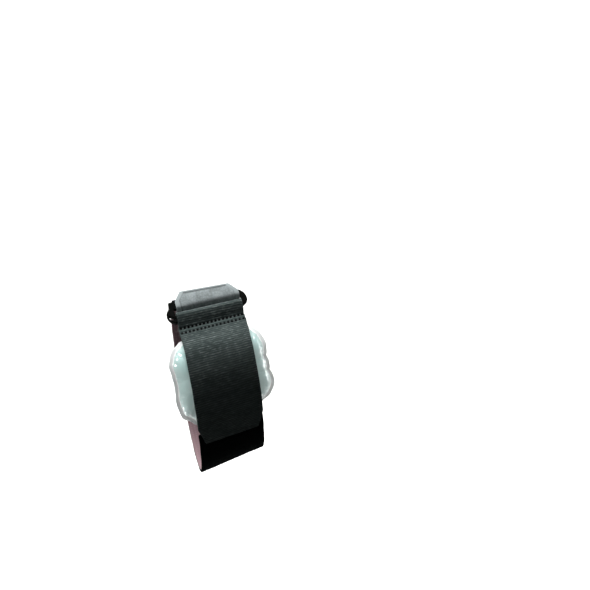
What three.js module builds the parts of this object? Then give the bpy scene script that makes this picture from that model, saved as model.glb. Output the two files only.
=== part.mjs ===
// Pneumatic elbow support: a forearm band with an inflated cell, in millimetres.
// X runs along the forearm to the hand, Y from the front to the back, Z up.
import * as THREE from "three";

// The hollow that the forearm fills is an ellipse at each place along X.
const HOLLOW_HEIGHT = 120;
const HOLLOW_DEPTH = 94;
const BOTTOM_RISE = 0.22; // the underside rises this much for each millimetre towards the hand
const DEPTH_TAPER = 0.05; // and the half depth shrinks this much

const STRAP_WIDTH = 50;
const GAP = 0.3; // between neighbouring pieces
const FOLDED_STEP = 1.2; // length of a facet along a strap that is folded round a bar
const PLAIN_STEP = 3;

// Thicknesses
const LINING_THICK = 1.4;
const BAND_THICK = 2;
const WOVEN_THICK = 1.6;
const TAB_THICK = 1.8;
const FILM_THICK = 1;

// Places round the arm are angles: 0 is the front, 90 the top, 180 the back and -90 the underside.
const BAND_START = -24.5; // under the woven strap's tongue
const BAND_END = -248; // past the underside and the back, at the top

// Inflated cell
const CELL_ANGLE = 10.7;
const CELL_ACROSS = 75;
const CELL_ALONG = 66;
const CELL_SQUARENESS = 3.6; // exponent of its outline
const CELL_RIM = 3; // width of the welded rim
const CELL_LIFT = 7.6; // rise of the outer film above the rim
const CELL_FLOOR = 0.2; // the inner film's height above the hollow
const CELL_ROUND = 60; // facets round the outline
const CELL_RINGS = [0.3, 0.55, 0.74, 0.86, 0.94, 0.985, 1];

// Where the welded outline swells and draws in: direction and spread in degrees, and share
const CELL_WAVES = [
  { turn: 4, spread: 10, swell: -0.045 },
  { turn: 61, spread: 13, swell: 0.065 },
  { turn: 118, spread: 10, swell: 0.03 },
  { turn: 145, spread: 28, swell: 0.03 },
  { turn: 178, spread: 5, swell: -0.03 },
  { turn: 224, spread: 20, swell: -0.09 },
  { turn: 309, spread: 13, swell: -0.07 },
  { turn: 346, spread: 7, swell: 0.02 },
];

// Moulded loop, a flat plate with one slot, in its own plane
const RING_ANGLE = 67.2;
const RING_HEIGHT = 6;
const RING_LEAN = 44; // slope of its face, from upright
const RING_TURN = 1.8; // turned in its own plane, hand side up
const RING_WIDTH = 62.1;
const RING_THICK = 3.2;
const RING_ROUNDING = 0.5;
const RING_TOP = 9.4;
const RING_BOTTOM = -9.2;
// Its hand side and its elbow side: where the bottom edge ends, the lower corner's radius, how far it
// drops and the turns that it covers, the upper corner's radius and how far that stands in
const RING_SIDES = [
  { bottom: 23.4, lower: 5, drop: -3, from: -70, to: 0, upper: 10.2, inset: 0 },
  { bottom: 24.3, lower: 8, drop: 1.2, from: -68, to: 26, upper: 1.5, inset: 3.4 },
];
const WAIST = { inset: 2.8, up: 3.6 }; // the elbow side draws in here, above its lower corner
const RING_SHIFT = -0.8; // the loop sits this much nearer the elbow than the straps
const SLOT_ROOM = 0.4; // from the straps' edges to the slot's ends
const SLOT_TOP = 2.4;
const SLOT_BOTTOM = -3.8;
// The slot's elbow end opens into a crescent along the lower corner: the wall left outside it,
// the turns that it covers and the height of its inner tip
const CRESCENT = { wall: 1.3, from: -46, to: 6, tip: -5.4 };
const FOLD_EASE = 0.7; // room between a strap's fold and the bar in it
const ROLL_SWELL = 0.42; // the woven strap's fold stands out in front by this much more
const ROLL_FOOT = 0.35; // and lies this much closer to the loop's lower edge

// Tongue and tab ends
const TONGUE_CUT = 4.5;
const TONGUE_TAPER = 15;
const TAB_WIDTH = 48;
const TAB_SHIFT = 0.9; // the tab's strap lies this much nearer the hand in the slot
const TAB_CUT = 5.5;
const TAB_CHAMFER = 8.6;
const TAB_TIP = { up: 14.6, out: 2.6, skew: -0.055 }; // stands a little proud, cut aslant

// The woven strap's centreline over the cell, from the tongue to the sewn rows.
// A skew turns the strap aslant by that many degrees round the arm at its hand edge.
const WOVEN_RUN = [
  { angle: -32.2, height: 5, skew: -1 },
  { angle: -28, height: 5 },
  { angle: -23, height: 5.9 },
  { angle: -16.5, height: 8.3 },
  { angle: -8, height: 10.6 },
  { angle: 2, height: 11.4 },
  { angle: 11.7, height: 11.5 },
  { angle: 21.5, height: 11.4 },
  { angle: 31, height: 10.7 },
  { angle: 38, height: 8.6, skew: 0.4 },
  { angle: 46, height: 6, skew: 0.8 },
  { angle: 52.7, height: 3.8, skew: 1 },
];

// The end that is folded back under it, from the loop to just past the sewn rows
const WOVEN_RETURN = [
  { angle: 52.7, height: 1.8, skew: 1 },
  { angle: 46, height: 3.9, skew: 0.8 },
  { angle: 44.2, height: 4.6, skew: 0.7 },
];

// The tab's strap, from its joint on the back over the top to the loop.
// A lift raises its hand edge by that much, and lowers its elbow edge.
const TAB_RUN = [
  { angle: 150, height: 5.1 },
  { angle: 134, height: 5.1 },
  { angle: 118, height: 5.1 },
  { angle: 104, height: 4.8 },
  { angle: 91, height: 3.5, lift: 2 },
];

// A point at a height above the hollow
function onArm(x, angle, height) {
  const turn = THREE.MathUtils.degToRad(angle);
  const depth = HOLLOW_DEPTH / 2 - DEPTH_TAPER * x;
  const tall = (HOLLOW_HEIGHT - BOTTOM_RISE * x) / 2;
  const middle = (BOTTOM_RISE * x) / 2;
  const out = new THREE.Vector3(0, -Math.cos(turn) / depth, Math.sin(turn) / tall).normalize();
  const foot = new THREE.Vector3(x, -depth * Math.cos(turn), middle + tall * Math.sin(turn));
  return foot.addScaledVector(out, height);
}

const ringMiddle = onArm(0, RING_ANGLE, RING_HEIGHT);
const levelAcross = onArm(STRAP_WIDTH / 2, RING_ANGLE, RING_HEIGHT)
  .sub(onArm(-STRAP_WIDTH / 2, RING_ANGLE, RING_HEIGHT))
  .normalize();
const ringLean = THREE.MathUtils.degToRad(RING_LEAN);
const levelUp = new THREE.Vector3(0, -Math.cos(ringLean), Math.sin(ringLean)).cross(levelAcross).normalize();
const ringOut = new THREE.Vector3().crossVectors(levelAcross, levelUp);
const ringTurn = THREE.MathUtils.degToRad(RING_TURN);
const ringAcross = levelAcross.clone().applyAxisAngle(ringOut, ringTurn);
const ringUp = levelUp.clone().applyAxisAngle(ringOut, ringTurn);

// A point in the loop's own directions
function onRing(across, up, out) {
  return ringMiddle
    .clone()
    .addScaledVector(ringAcross, across)
    .addScaledVector(ringUp, up)
    .addScaledVector(ringOut, out);
}

// Centre points of a fold round a bar's slot side; way is 1 for the lower bar, -1 for the upper,
// and swell is how much further it stands out in front
function foldRound(x, edge, way, thick, first, swell = 0) {
  const radius = RING_THICK / 2 + FOLD_EASE + thick / 2;
  const pivot = edge - (way * RING_THICK) / 2;
  const points = [];
  for (let turn = 90; turn >= -90; turn -= 30) {
    const a = THREE.MathUtils.degToRad(turn);
    const out = first * radius * Math.sin(a);
    points.push(onRing(x, pivot + way * radius * Math.cos(a), out + swell * Math.max(out, 0)));
  }
  return points;
}

function runPoints(x, run) {
  return run.map((row) => {
    const share = x / (STRAP_WIDTH / 2);
    return onArm(x, row.angle + (row.skew ?? 0) * share, row.height + (row.lift ?? 0) * share);
  });
}

function wovenPath(x) {
  const side = RING_THICK / 2 + FOLD_EASE + WOVEN_THICK / 2;
  return [
    ...runPoints(x, WOVEN_RUN),
    onRing(x, RING_BOTTOM, side - ROLL_FOOT),
    ...foldRound(x, SLOT_BOTTOM, 1, WOVEN_THICK, 1, ROLL_SWELL),
    onRing(x, RING_BOTTOM, -side),
    ...runPoints(x, WOVEN_RETURN),
  ];
}

function tabPath(x) {
  const side = RING_THICK / 2 + FOLD_EASE + TAB_THICK / 2;
  return [
    ...runPoints(x, TAB_RUN),
    onRing(x, RING_TOP + 0.8, -side),
    ...foldRound(x, SLOT_TOP, -1, TAB_THICK, -1),
    onRing(x, RING_TOP, side),
    onRing(x, TAB_TIP.up + TAB_TIP.skew * x, TAB_TIP.out),
  ];
}

function ringedPath(height) {
  const stops = 30;
  return (x) => {
    const points = [];
    for (let i = 0; i <= stops; i += 1) {
      points.push(onArm(x, THREE.MathUtils.lerp(BAND_START, BAND_END, i / stops), height));
    }
    return points;
  };
}

// Closed solid from rows of four corners: outer and inner points at the elbow and the hand edge
function solidFromRows(rows) {
  const positions = [];
  const triangles = [];
  rows.forEach((row) => row.forEach((p) => positions.push(p.x, p.y, p.z)));
  const quad = (a, b, c, d) => triangles.push(a, b, c, a, c, d);
  for (let i = 0; i + 1 < rows.length; i += 1) {
    for (let k = 0; k < 4; k += 1) {
      const next = (k + 1) % 4;
      quad(4 * i + k, 4 * i + 4 + k, 4 * i + 4 + next, 4 * i + next);
    }
  }
  const last = 4 * (rows.length - 1);
  quad(0, 1, 2, 3);
  quad(last + 3, last + 2, last + 1, last);
  const geometry = new THREE.BufferGeometry();
  geometry.setAttribute("position", new THREE.Float32BufferAttribute(positions, 3));
  geometry.setIndex(triangles);
  return geometry;
}

// A flat strap that follows a path; its width is given by the distances to its two ends
function strap(pathAt, thick, step, widthAt, shift = 0) {
  const half = STRAP_WIDTH / 2;
  const sides = [shift - half, shift + half];
  const curves = sides.map((x) => new THREE.CatmullRomCurve3(pathAt(x), false, "centripetal"));
  const length = curves[0].getLength();
  const steps = Math.round(length / step);
  const lines = curves.map((curve) => {
    curve.arcLengthDivisions = 1200;
    return curve.getSpacedPoints(steps);
  });
  const rows = [];
  for (let i = 0; i <= steps; i += 1) {
    const along = (length * i) / steps;
    const share = widthAt(along, length - along) / STRAP_WIDTH;
    const edges = [(1 - share) / 2, (1 + share) / 2].map((t) => {
      const here = lines[0][i].clone().lerp(lines[1][i], t);
      const from = lines[0][Math.max(i - 1, 0)].clone().lerp(lines[1][Math.max(i - 1, 0)], t);
      const to = lines[0][Math.min(i + 1, steps)].clone().lerp(lines[1][Math.min(i + 1, steps)], t);
      const across = new THREE.Vector3().subVectors(lines[1][i], lines[0][i]);
      const out = to.sub(from).cross(across).normalize().multiplyScalar(thick / 2);
      return [here.clone().add(out), here.clone().sub(out)];
    });
    rows.push([edges[0][0], edges[1][0], edges[1][1], edges[0][1]]);
  }
  return solidFromRows(rows);
}

function tongueWidth(fromTip) {
  const cut = TONGUE_CUT * Math.max(0, 1 - fromTip / TONGUE_TAPER);
  return STRAP_WIDTH - 2 * cut;
}

function tabWidth(fromJoint, fromTip) {
  const cut = TAB_CUT * Math.max(0, 1 - fromTip / TAB_CHAMFER);
  return TAB_WIDTH - 2 * cut;
}

function outlineWave(turn) {
  const degrees = THREE.MathUtils.radToDeg(turn);
  return CELL_WAVES.reduce((sum, wave) => {
    const gap = THREE.MathUtils.euclideanModulo(degrees - wave.turn + 180, 360) - 180;
    return sum + wave.swell * Math.exp(-((gap / wave.spread) ** 2));
  }, 1);
}

// A place on the cell: share 0 is its middle, 1 the weld's inner edge and 2 the rim's outer edge
function onCell(share, turn, height) {
  const inset = CELL_RIM * Math.max(0, 2 - Math.max(share, 1));
  const grow = Math.min(share, 1);
  const power = 2 / CELL_SQUARENESS;
  const bend = (value) => Math.sign(value) * Math.abs(value) ** power;
  const reach = grow * outlineWave(turn);
  const x = reach * (CELL_ACROSS / 2 - inset) * bend(Math.cos(turn));
  const along = reach * (CELL_ALONG / 2 - inset) * bend(Math.sin(turn));
  return onArm(x, CELL_ANGLE + along, height);
}

// A film of the cell, closed, from the height of its outer face at each share
function film(heightAt) {
  const shares = [...CELL_RINGS, 2];
  const positions = [];
  const triangles = [];
  const add = (p) => positions.push(p.x, p.y, p.z);
  for (const drop of [0, FILM_THICK]) {
    add(onCell(0, 0, heightAt(0) - drop));
    for (const share of shares) {
      for (let k = 0; k < CELL_ROUND; k += 1) {
        add(onCell(share, (2 * Math.PI * k) / CELL_ROUND, heightAt(share) - drop));
      }
    }
  }
  const layer = 1 + shares.length * CELL_ROUND;
  const at = (side, ring, k) => side * layer + 1 + ring * CELL_ROUND + (k % CELL_ROUND);
  const face = (side, a, b, c) => (side ? triangles.push(a, c, b) : triangles.push(a, b, c));
  for (const side of [0, 1]) {
    for (let k = 0; k < CELL_ROUND; k += 1) {
      face(side, side * layer, at(side, 0, k), at(side, 0, k + 1));
      for (let ring = 0; ring + 1 < shares.length; ring += 1) {
        face(side, at(side, ring, k), at(side, ring + 1, k), at(side, ring + 1, k + 1));
        face(side, at(side, ring, k), at(side, ring + 1, k + 1), at(side, ring, k + 1));
      }
    }
  }
  const rim = shares.length - 1;
  for (let k = 0; k < CELL_ROUND; k += 1) {
    triangles.push(at(0, rim, k), at(1, rim, k), at(1, rim, k + 1));
    triangles.push(at(0, rim, k), at(1, rim, k + 1), at(0, rim, k + 1));
  }
  const geometry = new THREE.BufferGeometry();
  geometry.setAttribute("position", new THREE.Float32BufferAttribute(positions, 3));
  geometry.setIndex(triangles);
  return geometry;
}

function outerFilmHeight(share) {
  const rim = CELL_FLOOR + 2 * FILM_THICK + GAP;
  return rim + CELL_LIFT * Math.max(0, 1 - Math.min(share, 1) ** 4) ** 0.7;
}

function innerFilmHeight() {
  return CELL_FLOOR + FILM_THICK;
}

// An outline from its hand half and its elbow half, which is given as its mirror image
function mirrored(half, elbowHalf = half) {
  const other = elbowHalf.map((p) => new THREE.Vector2(-p.x, p.y)).reverse();
  return [...half, ...other];
}

function arc(x, y, radius, from, to, steps) {
  const points = [];
  for (let i = 0; i <= steps; i += 1) {
    const a = THREE.MathUtils.degToRad(THREE.MathUtils.lerp(from, to, i / steps));
    points.push(new THREE.Vector2(x + radius * Math.cos(a), y + radius * Math.sin(a)));
  }
  return points;
}

function ringGeometry() {
  const trim = RING_ROUNDING; // the rounding adds this much to the outline again
  const half = RING_WIDTH / 2;
  const lowerCorner = (side, radius, from, to) =>
    arc(half - side.lower, RING_BOTTOM - side.drop + side.lower, radius, from, to, 8);
  const lowerHalf = (side) => [
    new THREE.Vector2(side.bottom, RING_BOTTOM + trim),
    ...lowerCorner(side, side.lower - trim, side.from, side.to),
  ];
  const upperCorner = (side) =>
    arc(half - side.inset - side.upper, RING_TOP - side.upper, side.upper - trim, 0, 90, 6);
  const [hand, elbow] = RING_SIDES;
  const waist = new THREE.Vector2(half - WAIST.inset - trim, WAIST.up);
  const outline = new THREE.Shape(
    mirrored([...lowerHalf(hand), ...upperCorner(hand)], [...lowerHalf(elbow), waist, ...upperCorner(elbow)]),
  );
  const slotHalf = STRAP_WIDTH / 2 + SLOT_ROOM + trim;
  const handEnd = slotHalf - RING_SHIFT;
  const elbowEnd = slotHalf + RING_SHIFT;
  const floor = SLOT_BOTTOM - trim;
  const top = SLOT_TOP + trim;
  const slot = new THREE.Path(
    mirrored(
      [new THREE.Vector2(handEnd, floor), new THREE.Vector2(handEnd, top)],
      [
        new THREE.Vector2(elbowEnd - 1, floor),
        new THREE.Vector2(elbowEnd - 0.1, CRESCENT.tip - 1.6),
        ...lowerCorner(elbow, elbow.lower - CRESCENT.wall + trim, CRESCENT.from, CRESCENT.to),
        new THREE.Vector2(elbowEnd, CRESCENT.tip),
        new THREE.Vector2(elbowEnd, top),
      ],
    ).reverse(),
  );
  outline.holes.push(slot);
  const geometry = new THREE.ExtrudeGeometry(outline, {
    depth: RING_THICK - 2 * RING_ROUNDING,
    bevelThickness: RING_ROUNDING,
    bevelSize: RING_ROUNDING,
    bevelSegments: 2,
    curveSegments: 6,
  });
  geometry.translate(0, 0, RING_ROUNDING - RING_THICK / 2);
  return geometry;
}

const finishes = {
  woven: { color: 0x4a5050, roughness: 0.85, metalness: 0 },
  pile: { color: 0x08090a, roughness: 0.95, metalness: 0 },
  lining: { color: 0x6e5259, roughness: 0.9, metalness: 0 },
  tab: { color: 0x8c9293, roughness: 0.85, metalness: 0 },
  moulded: { color: 0x0b0c0c, roughness: 0.35, metalness: 0 },
  film: { color: 0xa9bcba, roughness: 0.2, metalness: 0 },
};

function piece(name, geometry, finish) {
  const mesh = new THREE.Mesh(geometry, new THREE.MeshStandardMaterial(finish));
  mesh.name = name;
  return mesh;
}

const fullWidth = () => STRAP_WIDTH;
const liningMiddle = LINING_THICK / 2;
const bandMiddle = LINING_THICK + GAP + BAND_THICK / 2;
const bandShape = strap(ringedPath(bandMiddle), BAND_THICK, PLAIN_STEP, fullWidth);
const liningShape = strap(ringedPath(liningMiddle), LINING_THICK, PLAIN_STEP, fullWidth);
const tabShape = strap(tabPath, TAB_THICK, FOLDED_STEP, tabWidth, TAB_SHIFT);
const wovenShape = strap(wovenPath, WOVEN_THICK, FOLDED_STEP, tongueWidth);

const ring = piece("ring", ringGeometry(), finishes.moulded);
const ringPlace = new THREE.Matrix4().makeBasis(ringAcross, ringUp, ringOut);
ringPlace.setPosition(onRing(RING_SHIFT, 0, 0));
ring.applyMatrix4(ringPlace);

const support = new THREE.Group();
support.name = "elbow_support";
support.add(
  piece("woven_strap", wovenShape, finishes.woven),
  piece("arm_band", bandShape, finishes.pile),
  piece("band_lining", liningShape, finishes.lining),
  piece("closure_tab", tabShape, finishes.tab),
  ring,
  piece("aircell_outer_film", film(outerFilmHeight), finishes.film),
  piece("aircell_inner_film", film(innerFilmHeight), finishes.film),
);

export default support;
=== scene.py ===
"""Pneumatic elbow support: sewn straps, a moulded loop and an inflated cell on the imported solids."""
import math

import bpy
import numpy as np
from bpy.props import FloatProperty, FloatVectorProperty, IntProperty, PointerProperty
from mathutils import Matrix, Vector, noise


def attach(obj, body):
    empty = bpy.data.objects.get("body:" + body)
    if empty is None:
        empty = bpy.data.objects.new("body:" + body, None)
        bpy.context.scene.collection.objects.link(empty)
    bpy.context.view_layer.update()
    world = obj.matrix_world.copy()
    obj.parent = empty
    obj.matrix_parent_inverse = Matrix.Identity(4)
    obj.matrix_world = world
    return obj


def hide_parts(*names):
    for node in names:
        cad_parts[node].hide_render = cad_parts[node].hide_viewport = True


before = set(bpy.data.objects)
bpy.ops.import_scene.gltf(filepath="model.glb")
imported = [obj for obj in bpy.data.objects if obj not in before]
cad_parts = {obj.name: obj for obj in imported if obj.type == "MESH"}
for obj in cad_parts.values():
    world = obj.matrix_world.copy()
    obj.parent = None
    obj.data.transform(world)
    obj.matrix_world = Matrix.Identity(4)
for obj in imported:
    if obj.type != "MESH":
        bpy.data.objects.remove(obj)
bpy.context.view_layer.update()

bl_info = {
    "name": "Pneumatic elbow support",
    "version": (1, 0, 0),
    "blender": (4, 5, 0),
    "location": "3D View > Sidebar > Elbow Support",
    "description": "Builds the straps, the loop and the inflated cell of a pneumatic elbow support",
    "category": "Add Mesh",
}

MM = 0.001

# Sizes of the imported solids, in millimetres and degrees round the hollow: 0 is the front, 90 the top.
HOLLOW_HEIGHT = 120
HOLLOW_DEPTH = 94
BOTTOM_RISE = 0.22
DEPTH_TAPER = 0.05
STRAP_WIDTH = 50
LINING_THICK = 1.4
BAND_THICK = 2.0
WOVEN_THICK = 1.6
TAB_THICK = 1.8
LINING_MIDDLE = 0.7
BAND_MIDDLE = 2.7
BAND_START = -24.5
BAND_END = -248

CELL_ANGLE = 10.7
CELL_ACROSS = 75
CELL_ALONG = 66
CELL_SQUARENESS = 3.6
CELL_RIM = 3
CELL_LIFT = 6.5  # before the film is blown up
FILM_REACH = 1.8  # farthest that the air moves the film
RIM_TOP = 2.2
RIM_UNDER = 0.7
CELL_FLOOR = 0.25

RING_ANGLE = 67.2
RING_HEIGHT = 6
RING_LEAN = 44
RING_TURN = 1.8
RING_THICK = 3.2
RING_TOP = 9.4
RING_BOTTOM = -9.2
SLOT_TOP = 2.4
SLOT_BOTTOM = -3.8
FOLD_EASE = 0.7
ROLL_SWELL = 0.42
ROLL_FOOT = 0.35

TONGUE_CUT = 4.5
TONGUE_TAPER = 15
TAB_WIDTH = 48
TAB_SHIFT = 0.9
TAB_CUT = 5.5
TAB_CHAMFER = 8.6
TAB_TIP_UP = 14.6
TAB_TIP_OUT = 2.6
TAB_TIP_SKEW = -0.055
# The tab's pale face reaches this far from its tip, with a panel set in from the tip and the sides
TAB_FACE = 22
PANEL_FROM_TIP = 2.2
PANEL_FROM_SIDE = 3.7

# Centrelines: angle, height above the hollow, and for the woven strap the degrees that its +X edge
# is turned aslant, for the tab the millimetres that its +X edge is raised
WOVEN_RUN = (
    (-32.2, 5, -1), (-28, 5, 0), (-23, 5.9, 0), (-16.5, 8.3, 0), (-8, 10.6, 0), (2, 11.4, 0),
    (11.7, 11.5, 0), (21.5, 11.4, 0), (31, 10.7, 0), (38, 8.6, 0.4), (46, 6, 0.8), (52.7, 3.8, 1),
)
WOVEN_RETURN = ((52.7, 1.8, 1), (46, 3.9, 0.8), (44.2, 4.6, 0.7))
TAB_RUN = ((150, 5.1, 0), (134, 5.1, 0), (118, 5.1, 0), (104, 4.8, 0), (91, 3.5, 2))
SEWN_ROWS = (1.0, 6.3)  # below the crease under the loop

# The rows lie sunk in the strap, and each stitch dips into its needle holes
ROW_SINK = 0.22
HOLE_DEPTH = 0.6
THREAD_RADIUS = 0.00034
STITCH_DIP = 0.0005

# Where the cell's outline swells and draws in: direction and spread in degrees, and share
CELL_WAVES = (
    (4, 10, -0.045), (61, 13, 0.065), (118, 10, 0.03), (145, 28, 0.03), (178, 5, -0.03),
    (224, 20, -0.09), (309, 13, -0.07), (346, 7, 0.02),
)
# Scallops that the air draws into the film's edge, in the same terms
RIM_SCALLOPS = (
    (3, 1.2, -0.03), (358, 0.8, -0.03), (353, 2, 0.008), (12, 3, 0.008), (25, 5, -0.01),
    (40, 5, 0.012), (84, 6, 0.015), (100, 5, -0.012), (128, 5, -0.01), (165, 5, 0.015),
    (172, 2, -0.008), (176, 1.5, 0.012), (183, 2, 0.006), (194, 4, -0.01), (207, 5, 0.01),
    (240, 6, -0.012), (262, 8, 0.015), (290, 6, 0.012), (331, 4, -0.008),
)

# How finely pieces are divided: steps along a strap's line, points round the cell, rings of its film
# and the loop's voxels in metres
LINE_STEPS = 4000
CELL_ROUND = 220
FILM_RINGS = 33
LOOP_VOXEL = 0.00034
AIR_FRAMES = 16
EDGE_WANDER = 0.22  # how far a strap's cut edges stray

# Camera: degrees of turn, rise and roll, metres of distance and of a pixel, and the pixels of the
# picture's middle and of the middle of the hollow in it
VIEW_TURN = -8.5
VIEW_RISE = 10
VIEW_ROLL = 9
VIEW_DISTANCE = 1.25
VIEW_LENS = 99.7
VIEW_PIXEL = 0.000765
PICTURE_MIDDLE = 295
HOLLOW_PIXEL = (217.2, 378.4)

# Area lights: place in metres, power, width, height, and the rays that they don't light
AREA_LIGHTS = (
    ("left side light", (-1.2, 0.08, 0.25), 13, 0.25, 0.8, "visible_glossy"),
    ("right side light", (1.2, 0.08, 0.25), 8, 0.25, 0.8, "visible_glossy"),
    ("left strip", (-1.01, -0.04, 0.82), 4, 0.12, 0.35, "visible_diffuse"),
    ("low strip", (-0.3, -0.02, -0.26), 0.4, 0.02, 0.06, "visible_diffuse"),
    ("right strip", (1.26, 0.06, 0.25), 6.5, 0.1, 1.3, "visible_diffuse"),
)


def linear(hexcode):
    """Linear colour of an sRGB hex value."""
    shares = [(hexcode >> shift & 255) / 255 for shift in (16, 8, 0)]
    return tuple(s / 12.92 if s <= 0.04045 else ((s + 0.055) / 1.055) ** 2.4 for s in shares)


def tint(colour, share=1):
    """A colour at a share of its lightness, as a node's colour socket takes it."""
    return (*(share * c for c in colour), 1)


# Settings


class WebbingSettings(bpy.types.PropertyGroup):
    """Woven strap and its sewn rows."""

    rib_pitch: FloatProperty(
        name="Rib pitch", description="Distance from one woven rib to the next",
        default=0.0017, min=0.0008, max=0.005, precision=4, unit="LENGTH")
    rib_depth: FloatProperty(
        name="Rib depth", description="Height of a rib above the groove beside it",
        default=0.00016, min=0, max=0.0006, precision=5, unit="LENGTH")
    stitches: IntProperty(
        name="Stitches", description="Needle holes in each sewn row", default=17, min=3, max=40)
    sewn_width: FloatProperty(
        name="Sewn width", description="From the first needle hole of a row to the last",
        default=0.0468, min=0.02, max=0.049, precision=4, unit="LENGTH")
    hole_size: FloatProperty(
        name="Needle hole", description="Width of a needle hole pulled open by its thread",
        default=0.0026, min=0.0005, max=0.003, precision=4, unit="LENGTH")
    colour: FloatVectorProperty(
        name="Yarn", description="Colour of the rib crests",
        default=linear(0x4F5756), size=3, min=0, max=1, subtype="COLOR")
    # Painted shade: the grooves between the ribs are painted darker than the yarn.
    groove_shade_colour: FloatVectorProperty(
        name="Groove", description="Colour between the ribs",
        default=linear(0x2B3433), size=3, min=0, max=1, subtype="COLOR")
    # Pale fibres and painted glints on the crests.
    fleck_glint_colour: FloatVectorProperty(
        name="Rubbed yarn", description="Colour of the crests where the yarn is rubbed pale",
        default=linear(0x828B89), size=3, min=0, max=1, subtype="COLOR")
    thread_colour: FloatVectorProperty(
        name="Thread", description="Colour of the sewing thread",
        default=linear(0x565D5D), size=3, min=0, max=1, subtype="COLOR")


class BandSettings(bpy.types.PropertyGroup):
    """Band round the hollow, its lining and the closing tab."""

    # Black pile, set darker than black cloth so that it also holds painted shade on the band's underside.
    pile_and_shade_colour: FloatVectorProperty(
        name="Pile", description="Colour of the band's loop pile",
        default=linear(0x090C0C), size=3, min=0, max=1, subtype="COLOR")
    lining_colour: FloatVectorProperty(
        name="Lining", description="Colour of the knitted lining",
        default=linear(0xA0868B), size=3, min=0, max=1, subtype="COLOR")
    tab_colour: FloatVectorProperty(
        name="Tab", description="Colour of the tab's brushed face",
        default=linear(0x929A9B), size=3, min=0, max=1, subtype="COLOR")
    strap_colour: FloatVectorProperty(
        name="Tab strap", description="Colour of the strap that carries the tab",
        default=linear(0x14171A), size=3, min=0, max=1, subtype="COLOR")
    pile_depth: FloatProperty(
        name="Pile depth", description="Unevenness of the pile's loops",
        default=0.0003, min=0, max=0.001, precision=5, unit="LENGTH")


class LoopSettings(bpy.types.PropertyGroup):
    """Moulded loop."""

    colour: FloatVectorProperty(
        name="Nylon", description="Colour of the moulded loop",
        default=linear(0x040504), size=3, min=0, max=1, subtype="COLOR")


class CellSettings(bpy.types.PropertyGroup):
    """Inflated cell."""

    colour: FloatVectorProperty(
        name="Film", description="Colour of the blown part of the film",
        default=linear(0xBAD6D2), size=3, min=0, max=1, subtype="COLOR")
    weld_colour: FloatVectorProperty(
        name="Weld", description="Colour of the pressed rim",
        default=linear(0xF0F4F3), size=3, min=0, max=1, subtype="COLOR")
    pressure: FloatProperty(
        name="Air pressure", description="Pressure that blows the film up, in the solver's units",
        default=1500, min=0, max=6000)
    slack: FloatProperty(
        name="Film slack", description="Share by which the film is longer than its drawn shape",
        default=0.015, min=0, max=0.04, precision=3)


class StageSettings(bpy.types.PropertyGroup):
    """Floor and light."""

    floor_drop: FloatProperty(
        name="Floor drop", description="Depth of the floor below the middle of the hollow",
        default=0.30, min=0.08, max=1, unit="LENGTH")
    floor_colour: FloatVectorProperty(
        name="Floor", description="Colour of the floor",
        default=linear(0xF4F4F2), size=3, min=0, max=1, subtype="COLOR")
    key_strength: FloatProperty(
        name="Overhead light", description="Irradiance of the overhead softbox",
        default=6.2, min=0, max=20)
    fill_strength: FloatProperty(
        name="Front light", description="Irradiance of the large light in front",
        default=0.43, min=0, max=10)


# Places round the hollow, on the loop and on the straps, in millimetres


def on_hollow(x, angle, height):
    """A point at a height above the hollow."""
    turn = math.radians(angle)
    depth = HOLLOW_DEPTH / 2 - DEPTH_TAPER * x
    tall = (HOLLOW_HEIGHT - BOTTOM_RISE * x) / 2
    out = np.array((0, -math.cos(turn) / depth, math.sin(turn) / tall))
    foot = np.array((x, -depth * math.cos(turn), BOTTOM_RISE * x / 2 + tall * math.sin(turn)))
    return foot + out / np.linalg.norm(out) * height


def unit(vector):
    return vector / np.linalg.norm(vector, axis=-1, keepdims=True)


LEAN = math.radians(RING_LEAN)
TURN = math.radians(RING_TURN)
RING_MIDDLE = on_hollow(0, RING_ANGLE, RING_HEIGHT)
LEVEL_ACROSS = unit(on_hollow(25, RING_ANGLE, RING_HEIGHT) - on_hollow(-25, RING_ANGLE, RING_HEIGHT))
LEVEL_UP = unit(np.cross((0, -math.cos(LEAN), math.sin(LEAN)), LEVEL_ACROSS))
RING_OUT = np.cross(LEVEL_ACROSS, LEVEL_UP)
RING_ACROSS = LEVEL_ACROSS * math.cos(TURN) + LEVEL_UP * math.sin(TURN)
RING_UP = LEVEL_UP * math.cos(TURN) - LEVEL_ACROSS * math.sin(TURN)


def on_ring(across, up, out):
    """A point in the loop's own directions."""
    return RING_MIDDLE + RING_ACROSS * across + RING_UP * up + RING_OUT * out


def fold_round(x, edge, way, thick, first, swell=0):
    """Points of a fold round a bar's slot side; way is 1 for the lower bar, -1 for the upper."""
    radius = RING_THICK / 2 + FOLD_EASE + thick / 2
    pivot = edge - way * RING_THICK / 2
    points = []
    for turn in range(90, -91, -30):
        out = first * radius * math.sin(math.radians(turn))
        up = pivot + way * radius * math.cos(math.radians(turn))
        points.append(on_ring(x, up, out + swell * max(out, 0)))
    return points


def woven_path(x):
    side = RING_THICK / 2 + FOLD_EASE + WOVEN_THICK / 2
    share = x / (STRAP_WIDTH / 2)
    return [
        *(on_hollow(x, angle + skew * share, height) for angle, height, skew in WOVEN_RUN),
        on_ring(x, RING_BOTTOM, side - ROLL_FOOT),
        *fold_round(x, SLOT_BOTTOM, 1, WOVEN_THICK, 1, ROLL_SWELL),
        on_ring(x, RING_BOTTOM, -side),
        *(on_hollow(x, angle + skew * share, height) for angle, height, skew in WOVEN_RETURN),
    ]


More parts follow.
